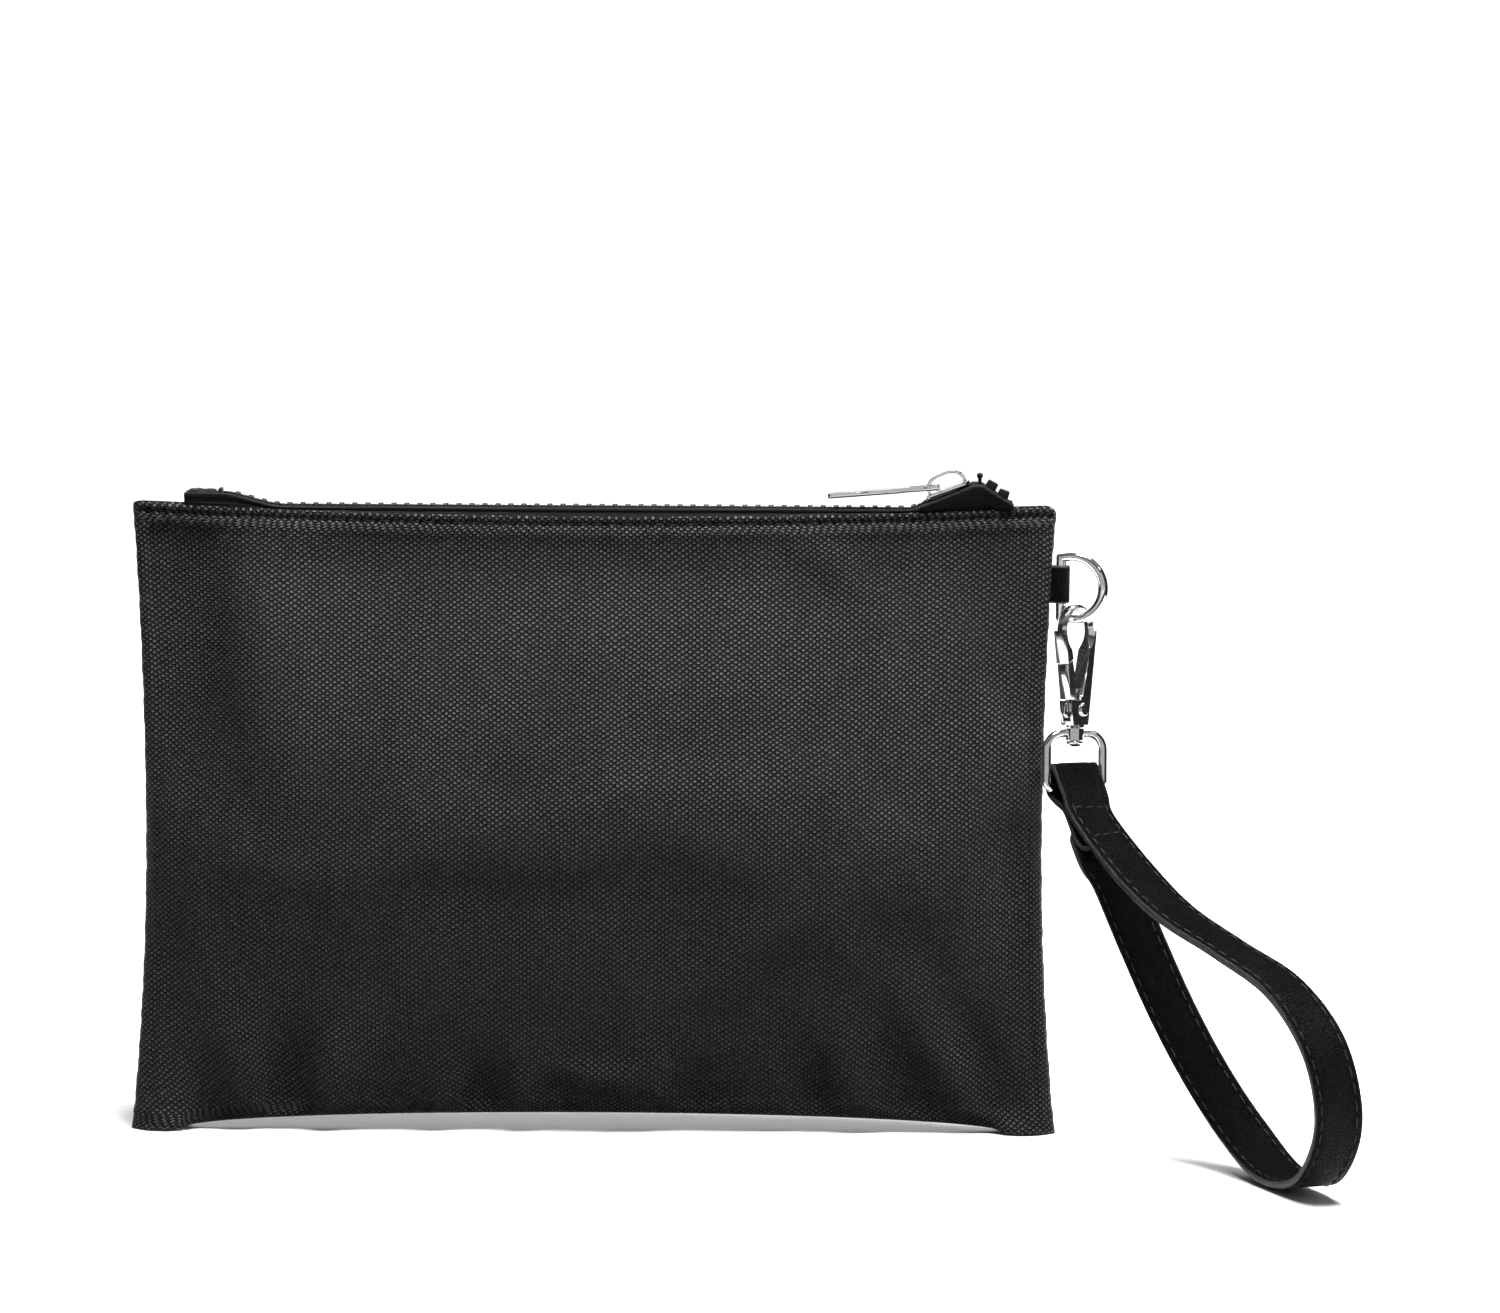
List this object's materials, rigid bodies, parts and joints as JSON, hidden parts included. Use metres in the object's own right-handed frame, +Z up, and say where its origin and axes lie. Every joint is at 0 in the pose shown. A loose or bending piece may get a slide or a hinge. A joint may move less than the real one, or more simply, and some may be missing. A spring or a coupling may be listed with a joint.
{
  "type": "wristlet pouch",
  "caption": "Zip-top wristlet pouch in coarse woven cloth, standing upright, with a ring tab, snap hook and leather wrist strap.",
  "frame": {"origin": "under the middle of the pouch, on the surface that it stands on", "axes": "+X along the pouch's width towards the ring, +Y from the front to the back, +Z up"},
  "size_m": [0.3257, 0.1091, 0.1815],
  "materials": {
    "woven_cloth": "coarse two-by-one basket weave, satin yarns",
    "lining": "thin plain weave, matt",
    "zip_tape": "fine woven tape",
    "zip_plastic": "moulded, satin",
    "thread": "twisted thread",
    "leather": "fine pebble grain, satin, painted edges",
    "chrome": "polished plate",
    "spring_steel": "drawn wire"
  },
  "bodies": {
    "pouch": {"front_panel": "woven_cloth", "back_panel": "woven_cloth", "front_lining": "lining", "back_lining": "lining", "zip_tape_front": "zip_tape", "zip_tape_back": "zip_tape", "zip_teeth_front": "zip_plastic", "zip_teeth_back": "zip_plastic", "zip_end_tab": "zip_tape", "zip_bottom_stop": "zip_plastic", "zip_top_stops": "zip_plastic", "hem_thread_front": "thread", "hem_thread_back": "thread", "ring_tab": "leather"},
    "slider": {"slider_body": "chrome", "slider_bridge": "chrome"},
    "puller": {"zip_puller": "chrome"},
    "ring": {"d_ring": "chrome"},
    "hook": {"hook_body": "chrome", "gate_rivet": "chrome", "gate_spring": "spring_steel", "swivel_post": "chrome"},
    "gate": {"hook_gate": "chrome"},
    "eye": {"swivel_eye": "chrome"},
    "strap": {"strap_outer": "leather", "strap_lining": "leather", "strap_thread": "thread"}
  },
  "joints": [
    {"name": "zip_slide", "type": "slide", "parent": "pouch", "child": "slider", "axis": [1, 0, 0], "range_m": [-0.161, 0], "deforming": ["zip_teeth_front", "zip_teeth_back", "zip_tape_front", "zip_tape_back"]},
    {"name": "puller_flip", "type": "hinge", "parent": "slider", "child": "puller", "pos_m": [0.09207, 0, 0.17674], "axis": [0, 1, 0], "range_deg": [0, 120]},
    {"name": "ring_turn", "type": "hinge", "parent": "pouch", "child": "ring", "pos_m": [0.12561, 0, 0.1498], "axis": [0, 0, 1], "range_deg": [0, 45]},
    {"name": "hook_swing", "type": "hinge", "parent": "ring", "child": "hook", "pos_m": [0.12961, -0.00107, 0.14128], "axis": [0.9565, -0.2563, 0.1392], "range_deg": [-20, 0]},
    {"name": "gate_open", "type": "hinge", "parent": "hook", "child": "gate", "pos_m": [0.13043, -0.00302, 0.11714], "axis": [-0.7771, 0.6246, -0.0767], "range_deg": [0, 22], "stiffness_Nm_per_rad": 0.01, "springref_deg": -11.46},
    {"name": "eye_swivel", "type": "hinge", "parent": "hook", "child": "eye", "pos_m": [0.12961, -0.0048, 0.11091], "axis": [0, 0.1219, 0.9925], "range_deg": [-10, 60]},
    {"name": "strap_swing", "type": "hinge", "parent": "eye", "child": "strap", "pos_m": [0.12961, -0.00658, 0.09642], "axis": [0.9659, 0.2569, -0.0315], "range_deg": [-35, 25]}
  ]
}
